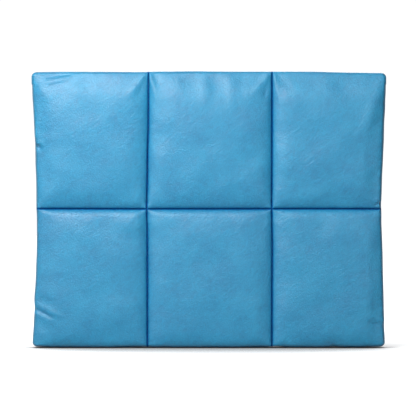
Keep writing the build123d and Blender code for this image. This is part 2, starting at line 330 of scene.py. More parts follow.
# How a field rises from its side, for profile: cut, wall and flank are shares of the height,
# the rest is the crown; steep, width, soft and reach are distances.
SEAM_RISE = dict(steep=1.6, reach=60.0, wall=0.22, flank=0.38, width=11.5, soft=2.2, cut=0.10)
BELOW_SEAM_RISE = {**SEAM_RISE, "width": 5.0, "soft": 2.3}
LEFT_RISE = dict(steep=5.0, reach=50, wall=0.25, flank=0.48, width=20.0, soft=2.2, cut=0.0)
BOTTOM_RISE = dict(steep=2.2, reach=48, wall=0.46, flank=0.20, width=9.0, soft=3.0, cut=0.0)
TOP_RISE = dict(steep=0.6, reach=58, wall=0.12, flank=0.34, width=20.5, soft=3.4, cut=0.0)


def profile(distance, steep, reach, wall, flank, width, soft, cut):
    """A rise from 0 to 1: a cut at the stitches, a soft shoulder, a straight flank up to
    width, and a long flat crown beyond."""
    distance = np.maximum(distance, 0)
    full = soft * math.log1p(math.exp(width / soft))
    left_over = np.log1p(np.exp(np.minimum((width - distance) / soft, 60)))
    run = soft * (math.log1p(math.exp(width / soft)) - left_over)
    crown = 1 - (1 - np.minimum(distance, reach) / reach) ** 2.0
    return (cut * (1 - np.exp(-distance / 0.38)) + wall * (1 - np.exp(-distance / steep))
            + flank * run / full + (1 - cut - wall - flank) * crown)


def slope(distance, width):
    """A flatter, straighter flank with a defined edge at width."""
    u = np.clip(distance / width, 0, 1.6)
    line = np.where(u < 1, u, 1 + 0.16 * (u - 1)) * 0.9
    soft = 1 - np.exp(-line * 3.2)
    shoulder = 1 - np.exp(-np.maximum(distance, 0) / 1.4)
    return 0.35 * shoulder + 0.65 * np.clip(0.25 * soft + 0.75 * line, 0, 1)


def in_corner(side_distance, end_distance):
    return (side_distance < CORNER) & (end_distance < CORNER)


def corner_shift(side_distance, end_distance, groove=0.0):
    """How far points near a corner move in along x and z to round it and follow the groove."""
    inside = in_corner(side_distance, end_distance)
    a = np.where(inside, (CORNER - side_distance) / CORNER, 0)
    b = np.where(inside, (CORNER - end_distance) / CORNER, 0)
    square = np.maximum(a, b)
    rounding = square / np.maximum(np.hypot(a, b), 1e-9)
    pull = np.where(square > 1e-6, (square - groove / CORNER) / np.maximum(square, 1e-6), 1)
    return CORNER * (a - a * rounding * pull), CORNER * (b - b * rounding * pull)


class Plan:
    """The grid of one cover's face: fields, distances and positions."""

    def __init__(self, side, step=None):
        self.side = side
        row, from_bottom = grid_places(FIELDS_Z, EXTRA_ROWS, step)
        column, from_left = grid_places(FIELDS_X, EXTRA_COLUMNS, step)
        self.shape = (len(row), len(column))
        self.row, self.column = row[:, None], column[None, :]
        from_bottom, from_left = from_bottom[:, None], from_left[None, :]
        width = np.diff(FIELDS_X)[self.column]
        height = np.diff(FIELDS_Z)[self.row]
        self.share_x, self.share_z = from_left / width, from_bottom / height
        ones = np.ones(self.shape)
        # distances to the sides of the point's own field
        self.left, self.right = from_left * ones, (width - from_left) * ones
        self.bottom, self.top = from_bottom * ones, (height - from_bottom) * ones
        # straightened position
        self.x = (np.array(FIELDS_X)[self.column] + from_left) * ones
        self.z = (np.array(FIELDS_Z)[self.row] + from_bottom) * ones
        # distances to the sleeve's outline
        self.edge_side = np.minimum(np.where(self.column == 0, self.left, FAR),
                                    np.where(self.column == 2, self.right, FAR))
        self.edge_bottom = np.where(self.row == 0, self.bottom, FAR)
        self.edge_top = np.where(self.row == 1, self.top, FAR)
        self.edge_turned = np.minimum(self.edge_side, self.edge_bottom)
        # distances to the nearest upright seam, level seam, any seam, and any side of the field
        self.upright_seam = np.minimum(self.left + FAR * (self.column == 0),
                                       self.right + FAR * (self.column == 2))
        self.level_seam = np.minimum(self.bottom + FAR * (self.row == 0),
                                     self.top + FAR * (self.row == 1))
        self.seam = np.minimum(self.upright_seam, self.level_seam)
        self.bound = np.minimum(np.minimum(self.left, self.right),
                                np.minimum(self.bottom, self.top))

    def swell(self):
        """The fields' rise above the quilting seams, 0 to 1."""
        left = np.where(self.column == 0, profile(self.left, **LEFT_RISE),
                        profile(self.left, **SEAM_RISE))
        # the right flank of the right fields is a broad slope
        if self.side == "front":
            # it widens away from the top corner
            width = (4.5 + 15.5 * smoothstep(272, 196, self.z)
                     - 5.0 * smoothstep(146, 128, self.z) + 2 * smoothstep(60, 20, self.z))
        else:
            width = 13.0 + 6.0 * np.sin(self.z / 41.0) ** 2
        right = np.where(self.column == 2, slope(self.right, width),
                         profile(self.right, **SEAM_RISE))
        bottom = np.where(self.row == 0, profile(self.bottom, **BOTTOM_RISE),
                          profile(self.bottom, **SEAM_RISE))
        top = np.where(self.row == 1, profile(self.top, **TOP_RISE),
                       profile(self.top, **BELOW_SEAM_RISE))
        # the four flanks meet in mitres, rounded at the corners and crisper further in
        power = 3.2 + 2.8 * smoothstep(4.0, 34.0, self.bound)
        total = sum(np.maximum(rise, 1e-3) ** -power for rise in (left, right, bottom, top)) - 3
        return total ** (-1 / power)

    def build(self):
        """Positions (x, depth, z) before wrinkles; depth is measured from the middle plane."""
        turned = self.edge_turned
        outline = np.minimum(turned, self.edge_top)
        crossing = np.minimum(*(np.hypot(self.x - seam, self.z - FIELDS_Z[1])
                                for seam in FIELDS_X[1:3]))
        valley = VALLEY + 1.9 * np.exp(-((crossing / 5.0) ** 2))
        # the seams rise a little towards the sleeve's sides
        valley = valley + 1.2 * np.exp(-self.edge_side / 14.0) * (turned > 2)
        # beside the trench the cover's edge lies at the lip's depth
        beside_trench = smoothstep(263.3, 264.3, self.z_positions())
        edge_depth = MEETING_DEPTH + (LIP_DEPTH - MEETING_DEPTH) * beside_trench
        edge_depth = np.where(self.edge_top < turned, LIP_DEPTH, edge_depth)
        base = edge_depth + (valley - edge_depth) * quarter_round(outline / 2.8)
        depth = base + self.swell() * (CROWN - valley)
        depth = np.where(outline <= 0, edge_depth, depth)
        # the turned seams pull the side and bottom edges into a groove
        groove = 1.35 * np.exp(-((depth / 2.1) ** 2)) * (1 - beside_trench)
        return self.place(depth, groove)

    def z_positions(self):
        cross = CROSS_SEAM(self.x)
        low = np.where(self.row == 0, Z_LO + INSET_BOTTOM(self.x), cross)
        high = np.where(self.row == 0, cross, top_edge(self.x))
        return low + self.share_z * (high - low)

    def x_positions(self, z):
        bounds = [X_LO + INSET_LEFT(z), LEFT_SEAM(z), RIGHT_SEAM(z), X_HI - INSET_RIGHT(z)]
        column = self.column * np.ones_like(z, int)
        low = np.choose(column, bounds[:3])
        high = np.choose(column, bounds[1:])
        return low + self.share_x * (high - low)

    def place(self, depth, groove):
        ends = np.minimum(self.edge_bottom, self.edge_top)
        shift_x, shift_z = corner_shift(self.edge_side, ends, groove)
        x = self.x_positions(self.z) + np.where(self.column == 0, 1.0, -1.0) * shift_x
        z = self.z_positions() + np.where(self.row == 0, 1.0, -1.0) * shift_z
        # between the corners the groove pulls straight in
        straight = ~in_corner(self.edge_side, ends)
        at_side = straight & (self.edge_side <= ends)
        at_end = straight & (self.edge_side > ends)
        x = x + np.where(at_side & (self.column == 0), groove, 0)
        x = x - np.where(at_side & (self.column == 2), groove, 0)
        z = z + np.where(at_end & (self.row == 0), groove, 0)
        return np.stack([x, depth, z], -1)


# ---------------------------------------------------------------- cloth simulation
def simulate(side, seed):
    """The sheet, pinned at its seams and outline and a little larger than its pattern, is
    blown up against its quilting. Returns its plan and how far each point moves."""
    plan = Plan(side, SIM_STEP)
    rest = plan.build()
    start = rest.copy()
    inner = smoothstep(1.0, 9.0, plan.bound)
    start[..., 1] -= inner * 1.0
    start[..., 1] += inner * 0.35 * Waves(seed, length=26)(plan.x, plan.z)
    outward = np.array([1, -1.0 if side == "front" else 1.0, 1])
    faces = quads(*plan.shape)
    if side == "back":
        faces = faces[:, ::-1]
    ob = make_object("sim_sheet", start.reshape(-1, 3) * outward, faces)
    pinned = np.nonzero((plan.bound < 0.5).ravel())[0]
    ob.vertex_groups.new(name="pin").add([int(i) for i in pinned], 1.0, "REPLACE")
    cloth = ob.modifiers.new("cloth", "CLOTH")
    settings = cloth.settings
    settings.quality = 6
    settings.mass = 0.25
    settings.tension_stiffness = 18
    settings.compression_stiffness = 18
    settings.shear_stiffness = 8
    settings.bending_stiffness = 1.2
    settings.air_damping = 2.0
    settings.vertex_group_mass = "pin"
    settings.shrink_min = -0.022  # below 0 the cloth grows
    settings.use_pressure = True
    settings.uniform_pressure_force = 3.0
    settings.effector_weights.gravity = 0.0
    cloth.collision_settings.use_collision = False
    scene = bpy.context.scene
    for frame in range(1, 17):
        scene.frame_set(frame)
    settled = ob.evaluated_get(bpy.context.evaluated_depsgraph_get())
    moved = np.zeros(rest.size, np.float32)
    settled.data.vertices.foreach_get("co", moved)
    moved = moved.reshape(-1, 3).astype(float) / MM * outward
    scene.frame_set(1)
    bpy.data.objects.remove(ob)
    return plan, moved.reshape(rest.shape) - rest


def soften(field, sigma):
    """A Gaussian average, sigma millimetres wide, of a field on the simulation's grid."""
    reach = int(3 * sigma / SIM_STEP) + 1
    kernel = np.exp(-0.5 * (np.arange(-reach, reach + 1) * SIM_STEP / sigma) ** 2)
    kernel /= kernel.sum()

    def average(line):
        return np.convolve(np.pad(line, reach, mode="reflect"), kernel, mode="valid")

    for axis in (0, 1):
        field = np.apply_along_axis(average, axis, field)
    return field


def cubic_reading(coarse, wanted):
    """The four nearest coarse lines of every wanted place, and their weights."""
    place = np.interp(wanted, coarse, np.arange(len(coarse)))
    first = np.clip(np.floor(place).astype(int), 0, len(coarse) - 2)
    t = place - first
    weights = np.stack([-0.5 * t**3 + t**2 - 0.5 * t, 1.5 * t**3 - 2.5 * t**2 + 1,
                        -1.5 * t**3 + 2 * t**2 + 0.5 * t, 0.5 * t**3 - 0.5 * t**2], -1)
    lines = np.stack([first - 1, first, first + 1, first + 2], -1)
    return np.clip(lines, 0, len(coarse) - 1), weights


def upsample(coarse, field, fine):
    """Bicubic reading of a field on the coarse plan at the fine plan's rows and columns."""
    lines, weights = cubic_reading(coarse.z[:, 0], fine.z[:, 0])
    field = np.einsum("rk,rkcd->rcd", weights, field[lines])
    lines, weights = cubic_reading(coarse.x[0, :], fine.x[0, :])
    return np.einsum("ck,rckd->rcd", weights, field[:, lines])


def simulated_wrinkles(plan, seed):
    """The simulation's movement between two softenings, without the broad swell."""
    coarse, moved = simulate(plan.side, seed)
    inner = smoothstep(1.0, 12.0, coarse.bound)[..., None]
    moved = np.clip(moved, -3.0, 3.0) * inner
    wrinkles = soften(moved, sigma=4.2) - soften(moved, sigma=10.0)
    return upsample(coarse, wrinkles * inner * WRINKLE_SHARE, plan)


# ---------------------------------------------------------------- creases listed one by one
# Soft ridges (height > 0) and grooves: start x, z, end x, z, height, half width
FRONT_MARKS = [
    # notch on the left edge
    (-175, 203.5, -167, 199.0, -2.4, 1.7), (-174, 206.5, -165, 203.0, 1.0, 1.5),
    (-172, 212.0, -150, 206.0, 0.45, 6.0), (-172, 217.5, -158, 214.0, -0.5, 4.5),
    # diagonal crease, low on the left edge
    (-174.5, 39.8, -156.0, 30.2, -1.5, 1.1), (-171, 43.0, -147.0, 31.5, 0.95, 2.7),
    (-172, 50.0, -153.0, 44.5, -0.5, 3.2), (-173, 34.5, -160, 27.0, 0.45, 2.6),
    (-175, 20.0, -163, 12.0, 0.35, 4.0),
    # folds in the top left corner
    (-164, 270.5, -137, 273.5, -0.75, 1.9), (-166, 264.0, -142, 269.0, 0.65, 2.6),
    (-170, 262.0, -160, 247.0, 0.5, 4.0), (-158, 260.5, -141, 265.0, -0.35, 2.4),
    # fan at the top of the left seam
    (-61.0, 276.0, -80.0, 252.0, 0.95, 3.4), (-61.0, 271.0, -72.0, 247.0, -0.55, 3.0),
    (-59.0, 275.0, -51.0, 246.0, 0.75, 2.7), (-56.0, 274.0, -42.0, 254.0, -0.45, 3.4),
    # fan at the top of the right seam
    (62.0, 275.0, 46.0, 256.0, 0.95, 3.2), (63.0, 272.0, 55.0, 250.0, -0.6, 2.8),
    (65.0, 275.0, 71.0, 246.0, 0.6, 2.6), (67.0, 274.0, 82.0, 258.0, -0.4, 3.4),
    # slack folds below the top edge
    (-5.5, 272.0, -3.5, 243.0, 0.42, 5.0), (5.5, 272.0, 7.5, 247.0, -0.38, 4.5),
    (20.0, 271.0, 23.0, 240.0, 0.55, 4.8), (33.0, 272.0, 34.0, 250.0, -0.35, 5.0),
    (-32.0, 273.0, -30.0, 252.0, 0.22, 6.0),
    # break of the right flank
    (175.0, 272.0, 151.0, 210.0, 0.55, 4.2),
    # pinch where the cross seam meets the right edge
    (176.0, 145.5, 165.5, 142.5, -1.0, 1.3), (176.0, 148.5, 165.0, 146.5, 0.6, 1.8),
    # pinches low and high on the right edge
    (177.0, 22.0, 161.0, 25.5, -0.85, 2.4), (177.0, 27.0, 158.0, 31.5, 0.55, 3.4),
    (177.0, 229.0, 168.0, 226.0, -0.5, 2.4),
    # puckers round the crossings
    (-61.5, 150.0, -70.0, 160.0, 0.4, 2.4), (-62.0, 148.0, -52.0, 158.0, 0.35, 2.4),
    (-62.0, 128.0, -72.0, 118.0, 0.4, 2.6), (-62.0, 129.0, -52.0, 121.0, 0.4, 2.4),
    (63.0, 149.0, 54.0, 159.0, 0.4, 2.4), (63.0, 149.0, 73.0, 158.0, 0.35, 2.4),
    (63.0, 128.0, 54.0, 119.0, 0.4, 2.4), (63.0, 128.0, 74.0, 119.0, 0.4, 2.6),
    # pinches along the bottom edge
    (-140, 1.0, -134, 10.0, -0.5, 3.0), (-61, 1.0, -52, 9.0, -0.4, 3.0),
    (74, 1.0, 82, 10.0, -0.6, 3.0), (124, 1.0, 128, 10.0, -0.5, 3.0),
]


def back_marks():
    """Seeded marks in the same form as FRONT_MARKS."""
    random = np.random.RandomState(71)
    uniform = random.uniform
    marks = []
    # puckers at the ends and crossings of the upright seams
    for x in (-61, 63.5):
        for z, up in ((274, -1), (139, 1), (139, -1), (2, 1)):
            for way in (-1, 1):
                length, tilt = uniform(14, 28), uniform(0.35, 0.8)
                marks.append((x, z, x + way * length * tilt, z + up * length,
                              uniform(0.35, 0.8), uniform(2.4, 3.6)))
    # pinches on the left or right edge, each a groove with a ridge above it
    for z in (226, 206, 168, 112, 58, 36):
        way = random.choice([-1, 1])
        x = way * 175.0
        rise = uniform(-9, 6)
        marks.append((x, z, x - way * uniform(10, 22), z + rise,
                      -uniform(0.5, 1.0), uniform(1.4, 2.6)))
        marks.append((x, z + 4, x - way * uniform(12, 24), z + 4 + rise,
                      uniform(0.4, 0.7), uniform(2.6, 3.6)))
    # folds below the top edge
    for x in (-150, -118, -20, 22, 96, 140):
        marks.append((x, 273, x + uniform(-5, 5), 273 - uniform(18, 34),
                      random.choice([-1, 1]) * uniform(0.3, 0.5), uniform(4, 5.5)))
    return marks


def stroke(x, z, start_x, start_z, end_x, end_z, height, half_width):
    """One soft mark along a line, fading over a quarter of its length at either end."""
    length = math.hypot(end_x - start_x, end_z - start_z)
    along_x, along_z = (end_x - start_x) / length, (end_z - start_z) / length
    from_x, from_z = x - start_x, z - start_z
    share = (from_x * along_x + from_z * along_z) / length
    off = (from_z * along_x - from_x * along_z) / half_width
    fade = smoothstep(-0.25, 0.25, share) * (1 - smoothstep(0.75, 1.25, share))
    return height * fade * np.exp(-off * off)


def relief(plan, marks, seed):
    """Height of the creases, puckers and slack along the surface normal."""
    x, z = plan.x_positions(plan.z), plan.z_positions()
    out = np.zeros(plan.shape)
    for mark in marks:
        out += stroke(x, z, *mark)

    def near(distance, start, reach):
        return smoothstep(0.0, start, distance) * np.exp(-((distance / reach) ** 1.5))

    def waves(number, length, **options):
        return Waves(seed + number, length, **options)(plan.x, plan.z)

    # gathers along every quilting seam, strongest a few millimetres from the stitches
    out += 0.10 * near(plan.upright_seam, 1.6, 8.0) * waves(1, 11, stretch=(6, 1))
    out += 0.10 * near(plan.level_seam, 1.6, 8.0) * waves(2, 11, stretch=(1, 6))
    # gathers along the side and bottom edges
    out += 0.11 * near(plan.edge_turned, 1.2, 8.0) * (0.7 * waves(3, 12) + 0.9 * waves(8, 31))
    # slack in the fields: height, seed number, wavelength
    inner = smoothstep(0.8, 10.0, plan.bound)
    for height, number, length in ((0.24, 4, 52), (0.050, 5, 24), (0.014, 6, 12), (0.006, 7, 6.5)):
        out += inner * height * Waves(seed + number, length)(x, z)
    return out * smoothstep(0.0, 1.2, plan.bound)


# ---------------------------------------------------------------- covers
LEATHER_THICKNESS = 0.9
DEEPEST = 19.98                         # no point of a cover's face lies further out
LIP_DROP, FULL_DROP = 2.2, 11.0         # nominal drops: the lip's end and the trench's floor
WALL_DROPS = (0.12, 0.3, 0.55, 0.9, 1.4, LIP_DROP, 3.4, 5.0, 6.8, 8.6, 10.2, FULL_DROP)
HEM_SHARES = (0.10, 0.3, 0.55, 0.8, 1.0)
HEM_DEPTH, HEM_NARROWING = 5.2, 4.85    # the hem's inner edge; it comes closer at the zip's ends
ALLOWANCE_STEPS = (1.6, 3.6, 5.8, 7.6)
ALLOWANCE_DEPTH = 0.16


def cover_face(plan, seed):
    """The quilted face in the front's orientation, wrinkled and creased."""
    face = plan.build()
    face = face + simulated_wrinkles(plan, seed)
    face = face * np.array([1, -1, 1])
    marks = FRONT_MARKS if plan.side == "front" else back_marks()
    face = face + sheet_normals(face) * relief(plan, marks, seed)[..., None]
    face[..., 1] = np.maximum(face[..., 1], -DEEPEST)
    return face


def trench_rows(plan, seed):
    """Rows of points from the lip down the trench's wall and in along the hem."""
    x_plan, side_distance = plan.x[:1], plan.edge_side[:1]
    height = top_edge(x_plan) - TRENCH_FLOOR
    inward = np.where(plan.column == 0, 1.0, -1.0)
    waves = Waves(seed + 9, length=34)
    rows = []
    for nominal in WALL_DROPS:
        share = (nominal - LIP_DROP) / (FULL_DROP - LIP_DROP)
        drop = np.where(nominal <= LIP_DROP, nominal, LIP_DROP + share * (height - LIP_DROP))
        rounding = quarter_round(np.minimum(side_distance, drop) / 1.1)
        depth = LIP_DEPTH - (LIP_DEPTH - WALL_DEPTH) * rounding
        z = top_edge(x_plan) - drop
        on_wall = smoothstep(1.5, 5.0, drop) * (1 - smoothstep(9.0, 11.5, drop))
        # the ripple is read before the row is lowered
        depth = depth + 0.10 * on_wall * waves(x_plan, plan.z[-1:] * 0 + FIELDS_Z[2] - 1.0)
        shift_x, shift_z = corner_shift(side_distance, drop)
        x = plan.x_positions(z) + inward * shift_x
        rows.append(np.stack([x, -depth, z - shift_z], -1)[0])
    wall_foot = rows[-1]
    inner = HEM_DEPTH - HEM_NARROWING * smoothstep(157.0, 160.0, np.abs(wall_foot[:, 0]))
    for share in HEM_SHARES:
        row = wall_foot.copy()
        row[:, 1] = -(WALL_DEPTH + (inner - WALL_DEPTH) * share)
        row[:, 2] = TRENCH_FLOOR
        rows.append(row)
    return rows


def add_allowances(plan, points, faces):
    """Turned seam allowances inside the left, right and bottom edges, open at the corners."""
    columns = plan.shape[1]
    upright = np.nonzero((plan.z[:, 0] > 16) & (plan.z[:, 0] < 254))[0] * columns
    level = np.nonzero(np.abs(plan.x[0]) < 158)[0]
    extra = []
    for edge, inward in ((upright, (1, 0, 0)),
                         ((upright + columns - 1)[::-1], (-1, 0, 0)),
                         (level[::-1], (0, 0, 1))):
        previous = edge
        for step in ALLOWANCE_STEPS:
            strip = points[edge] + np.array(inward) * step
            strip[:, 1] = -ALLOWANCE_DEPTH
            current = np.arange(len(points), len(points) + len(edge))
            points = np.vstack([points, strip])
            extra += zip(previous[:-1], previous[1:], current[1:], current[:-1])
            previous = current
    return points, np.vstack([faces, np.array(extra, int)])


def cover(plan, face, seed):
    """One cover: its face, lip, trench wall, hem and turned edges, as leather of one thickness."""
    sheet = np.vstack([face] + [row[None] for row in trench_rows(plan, seed)])
    points, faces = add_allowances(plan, sheet.reshape(-1, 3), quads(*sheet.shape[:2]))
    points, faces = solidify(points, faces, LEATHER_THICKNESS)
    ob = piece(f"{plan.side}_cover", on_side(plan.side, points, faces), "cover_leather",
               f"{plan.side}_shell")
    # painted shade in the seams' ditch, fading towards the top edge
    ditch = 0.80 * np.exp(-((plan.seam / 0.95) ** 2)) + 0.20 * np.exp(-plan.seam / 2.6)
    shade = np.zeros(len(points))
    fade = smoothstep(0.0, 3.0, np.minimum(plan.edge_top, 9.0) + 1.5)
    shade[: ditch.size] = (ditch * fade).ravel()
    ob.data.attributes.new("ditch", "FLOAT", "POINT").data.foreach_set("value", shade)


# ---------------------------------------------------------------- materials
class Shader:
    """A node tree and short ways to add to it. Every input is a socket or a plain value."""

    def __init__(self, owner):
        owner.use_nodes = True
        self.owner, self.tree = owner, owner.node_tree
        self.tree.nodes.clear()

    def put(self, node, inputs):
        for key, value in inputs.items():
            socket = node.inputs[key]
            if isinstance(value, bpy.types.NodeSocket):
                self.tree.links.new(value, socket)
            elif socket.type == "RGBA":
                socket.default_value = (*value, 1)
            else:
                socket.default_value = value

    def node(self, kind, inputs=None, **properties):
        node = self.tree.nodes.new("ShaderNode" + kind)
        for key, value in properties.items():
            setattr(node, key, value)
        self.put(node, inputs or {})
        return node

    def remap(self, value, to, source=(0.0, 1.0), **properties):
        return self.node("MapRange", {
            "Value": value, "From Min": source[0], "From Max": source[1],
            "To Min": to[0], "To Max": to[1]}, **properties).outputs[0]

    def camera_ray(self):
        return self.node("LightPath").outputs["Is Camera Ray"]


class Surface(Shader):
    """A material with one Principled surface."""

    def __init__(self, name):
        super().__init__(bpy.data.materials.new(name))
        self.bsdf = self.node("BsdfPrincipled")
        self.node("OutputMaterial", {"Surface": self.bsdf.outputs[0]})
        self.place = self.node("TexCoord").outputs["Object"]

    def finish(self, inputs):
        self.put(self.bsdf, inputs)
        return self.owner

    def mapped(self, at=None, scale=(1, 1, 1), rotation=(0, 0, 0), kind="POINT"):
        return self.node("Mapping", {
            "Vector": at or self.place, "Scale": scale, "Rotation": rotation},
            vector_type=kind).outputs[0]

    def noise(self, scale, detail=3.0, rough=0.55, distort=0.0, at=None):
        return self.node("TexNoise", {
            "Vector": at or self.place, "Scale": scale, "Detail": detail,
            "Roughness": rough, "Distortion": distort}).outputs["Fac"]

    def wave(self, scale, at, distort, direction):
        return self.node("TexWave", {"Vector": at, "Scale": scale, "Distortion": distort},
                         bands_direction=direction).outputs["Fac"]

    def ramp(self, value, *stops):
        """Colours over 0 to 1, from (position, colour) stops."""
        node = self.node("ValToRGB", {"Fac": value})
        elements = node.color_ramp.elements
        while len(elements) < len(stops):
            elements.new(0.5)
        for k, (position, colour) in enumerate(stops):
            elements[k].position = position
            elements[k].color = (*colour, 1)
        return node.outputs["Color"]

    def math(self, operation, first, second=0.0):
        return self.node("Math", {0: first, 1: second}, operation=operation).outputs[0]

    def scaled(self, value, factor):
        return self.math("MULTIPLY", value, factor)

    def weighted(self, *terms):
        """The sum of (value, weight) terms."""
        total = self.scaled(*terms[0])
        for term in terms[1:]:
            total = self.math("ADD", total, self.scaled(*term))
        return total

    def centred(self, value):
        return self.math("SUBTRACT", value, 0.5)

    def mix(self, share, first, second, blend="MIX"):
        return self.node("Mix", {0: share, 6: first, 7: second},
                         data_type="RGBA", blend_type=blend).outputs[2]

    def bump(self, height, strength, distance, normal=None):
        inputs = {"Height": height, "Strength": strength, "Distance": distance}
        if normal is not None:
            inputs["Normal"] = normal
        return self.node("Bump", inputs).outputs[0]

    def pointiness(self):
        return self.node("NewGeometry").outputs["Pointiness"]


def tinted(colour, factor):
    return tuple(min(1.0, q * factor) for q in colour)


LEATHER_DEEP = (0.0010, 0.168, 0.344)
LEATHER_BODY = (0.0024, 0.222, 0.414)
LEATHER_PALE = (0.0060, 0.270, 0.476)
# proud edges: rubbed wear and painted highlight
LEATHER_WEAR_AND_HIGHLIGHT = (0.016, 0.36, 0.64)
# folds: painted shade
LEATHER_FOLD_SHADE = (0.0006, 0.095, 0.27)
# painted shade for the seams' ditch
DITCH_PAINTED_SHADE = (0.0, 0.048, 0.240)


def leather(name, gain=1.0, shift=(0, 0, 0), grain=1.0):
    """Waxed blue hide. gain scales its colours, shift moves the texture, grain its relief."""
    mat = Surface(name)
    at = mat.node("VectorMath", {0: mat.place, 1: shift}, operation="ADD").outputs[0]
    deep, body, pale, wear_and_highlight_colour, fold_shade_colour = (tinted(colour, gain) for colour in (
        LEATHER_DEEP, LEATHER_BODY, LEATHER_PALE, LEATHER_WEAR_AND_HIGHLIGHT, LEATHER_FOLD_SHADE))
    turned = mat.mapped(at, rotation=(0.21, math.radians(29), 0.17))
    clouds = mat.noise(scale=26, detail=4.0, rough=0.60, distort=0.5, at=turned)
    blotch = mat.noise(scale=88, detail=3.5, rough=0.60, distort=0.7, at=turned)
    # the mottling runs on the slant
    slant = mat.mapped(at, scale=(1.0, 1.0, 2.2), rotation=(0, math.radians(52), 0),
                       kind="TEXTURE")
    brushed = mat.noise(scale=165, detail=4.0, rough=0.66, distort=0.6, at=slant)
    pebble = mat.noise(scale=430, detail=2.5, rough=0.62, distort=0.3, at=slant)
    tone = mat.weighted((clouds, 0.36), (blotch, 0.22), (brushed, 0.26), (pebble, 0.16))
    base = mat.ramp(tone, (0.33, deep), (0.50, body), (0.68, pale))
    # fine pale hair lines and darker flecks
    hair = mat.noise(scale=46, detail=5.0, rough=0.62, distort=1.4, at=at)
    hair = mat.remap(mat.math("ABSOLUTE", mat.centred(hair)), to=(1.0, 0.0), source=(0.0, 0.022))
    base = mat.mix(mat.scaled(hair, 0.24), base, pale)
    fleck = mat.noise(scale=150, detail=3.0, rough=0.6, distort=1.6, at=at)
    fleck = mat.remap(fleck, to=(0.0, 1.0), source=(0.56, 0.72))
    base = mat.mix(mat.scaled(fleck, 0.20), base, deep)
    # paler on edges that stand proud, partly rubbed wear and partly painted highlight; darker in
    # the folds, painted shade
    pointiness = mat.pointiness()
    wear_and_highlight = mat.remap(pointiness, to=(0.0, 1.0), source=(0.515, 0.60))
    fold_shade = mat.remap(pointiness, to=(1.0, 0.0), source=(0.40, 0.49))
    base = mat.mix(mat.scaled(wear_and_highlight, 0.35), base, wear_and_highlight_colour)
    base = mat.mix(mat.scaled(fold_shade, 0.65), base, fold_shade_colour)
    # the pebbled grain takes the dye unevenly
    fine = mat.noise(scale=880, detail=2.0, rough=0.55, at=at)
    speck = mat.weighted((mat.centred(pebble), 0.085), (mat.centred(fine), 0.28))
    speck = mat.ramp(mat.math("ADD", speck, 0.5), (0.0, (0.0, 0.0, 0.0)), (1.0, (2.0, 2.0, 2.0)))
    base = mat.mix(1.0, base, speck, blend="MULTIPLY")
    # the stitched ditch gets painted shade in its colour and is matt
    ditch = mat.node("Attribute", attribute_name="ditch").outputs["Fac"]
    base = mat.mix(ditch, base, DITCH_PAINTED_SHADE)
    matt = mat.math("SUBTRACT", 1.0, mat.scaled(ditch, 1.9))
    shine = mat.math("MAXIMUM", matt, 0.0)
    # relief, from the finest to the broadest
    cells = mat.node("TexVoronoi", {"Vector": at, "Scale": 760, "Smoothness": 0.7},
                     feature="SMOOTH_F1").outputs["Distance"]
    pores = mat.noise(scale=1900, detail=2.0, rough=0.5, at=at)
    creases = mat.noise(scale=210, detail=3.0, rough=0.55, distort=0.8, at=at)
    creases = mat.remap(mat.math("ABSOLUTE", mat.centred(creases)),
                        to=(0.0, 1.0), source=(0.0, 0.10))
    pitted = mat.math("ADD", cells, mat.scaled(pores, 0.5))
    normal = mat.bump(pitted, strength=0.60 * grain, distance=0.00030)
    normal = mat.bump(pebble, strength=0.85 * grain, distance=0.00042, normal=normal)
    normal = mat.bump(creases, strength=0.18 * grain, distance=0.00022, normal=normal)
    normal = mat.bump(blotch, strength=0.22 * grain, distance=0.0005, normal=normal)
    rough = mat.math("ADD", mat.remap(blotch, to=(0.40, 0.53), source=(0.3, 0.7)),
                     mat.scaled(cells, 0.10))
    return mat.finish({
        "Base Color": base,
        "Roughness": mat.math("ADD", rough, mat.scaled(ditch, 0.3)),
        "Normal": normal,
        "IOR": 1.48,
        "Specular IOR Level": mat.scaled(shine, 0.745),
        "Sheen Weight": 0.05,
        "Sheen Roughness": 0.5,
        "Coat Weight": mat.scaled(shine, 0.265),
        "Coat Roughness": 0.38})


WAVES_PER_PITCH = 3.1416 / 6.283  # wave texture scale for yarns of unit pitch


def woven(name, colour, pitch, rough, contrast, twill=False):
    """A plain or twill weave of crossing yarns, pitch in metres."""
    mat = Surface(name)
    at = mat.mapped(rotation=(0, math.radians(45) if twill else 0, 0))
    yarn_x, yarn_z, yarn_y = (
        mat.wave(scale=WAVES_PER_PITCH / pitch, at=at, distort=0.3, direction=axis)
        for axis in "XZY")
    height = mat.math("MAXIMUM", mat.scaled(yarn_x, yarn_z), mat.scaled(yarn_x, yarn_y))
    fuzz = mat.noise(scale=420, detail=3.0, rough=0.6)
    tone = mat.weighted((height, 0.7), (fuzz, 0.3))
    dark, light = tinted(colour, 1 - contrast), tinted(colour, 1 + 0.5 * contrast)
    return mat.finish({
        "Base Color": mat.ramp(tone, (0.15, dark), (0.45, colour), (0.85, light)),
        "Roughness": mat.remap(fuzz, to=(rough - 0.08, rough + 0.08)),
        "Normal": mat.bump(tone, strength=0.5, distance=0.00015),
        "Sheen Weight": 0.2})


def thread(name, colour):
    mat = Surface(name)
    strands = mat.noise(scale=1500, detail=3.0, rough=0.6, at=mat.mapped(scale=(1, 1, 0.35)))
    return mat.finish({
        "Base Color": mat.ramp(strands, (0.3, tinted(colour, 0.6)), (0.65, colour)),
        "Roughness": mat.remap(strands, to=(0.45, 0.65)),
        "Normal": mat.bump(strands, strength=0.4, distance=0.00008),
        "Sheen Weight": 0.25})


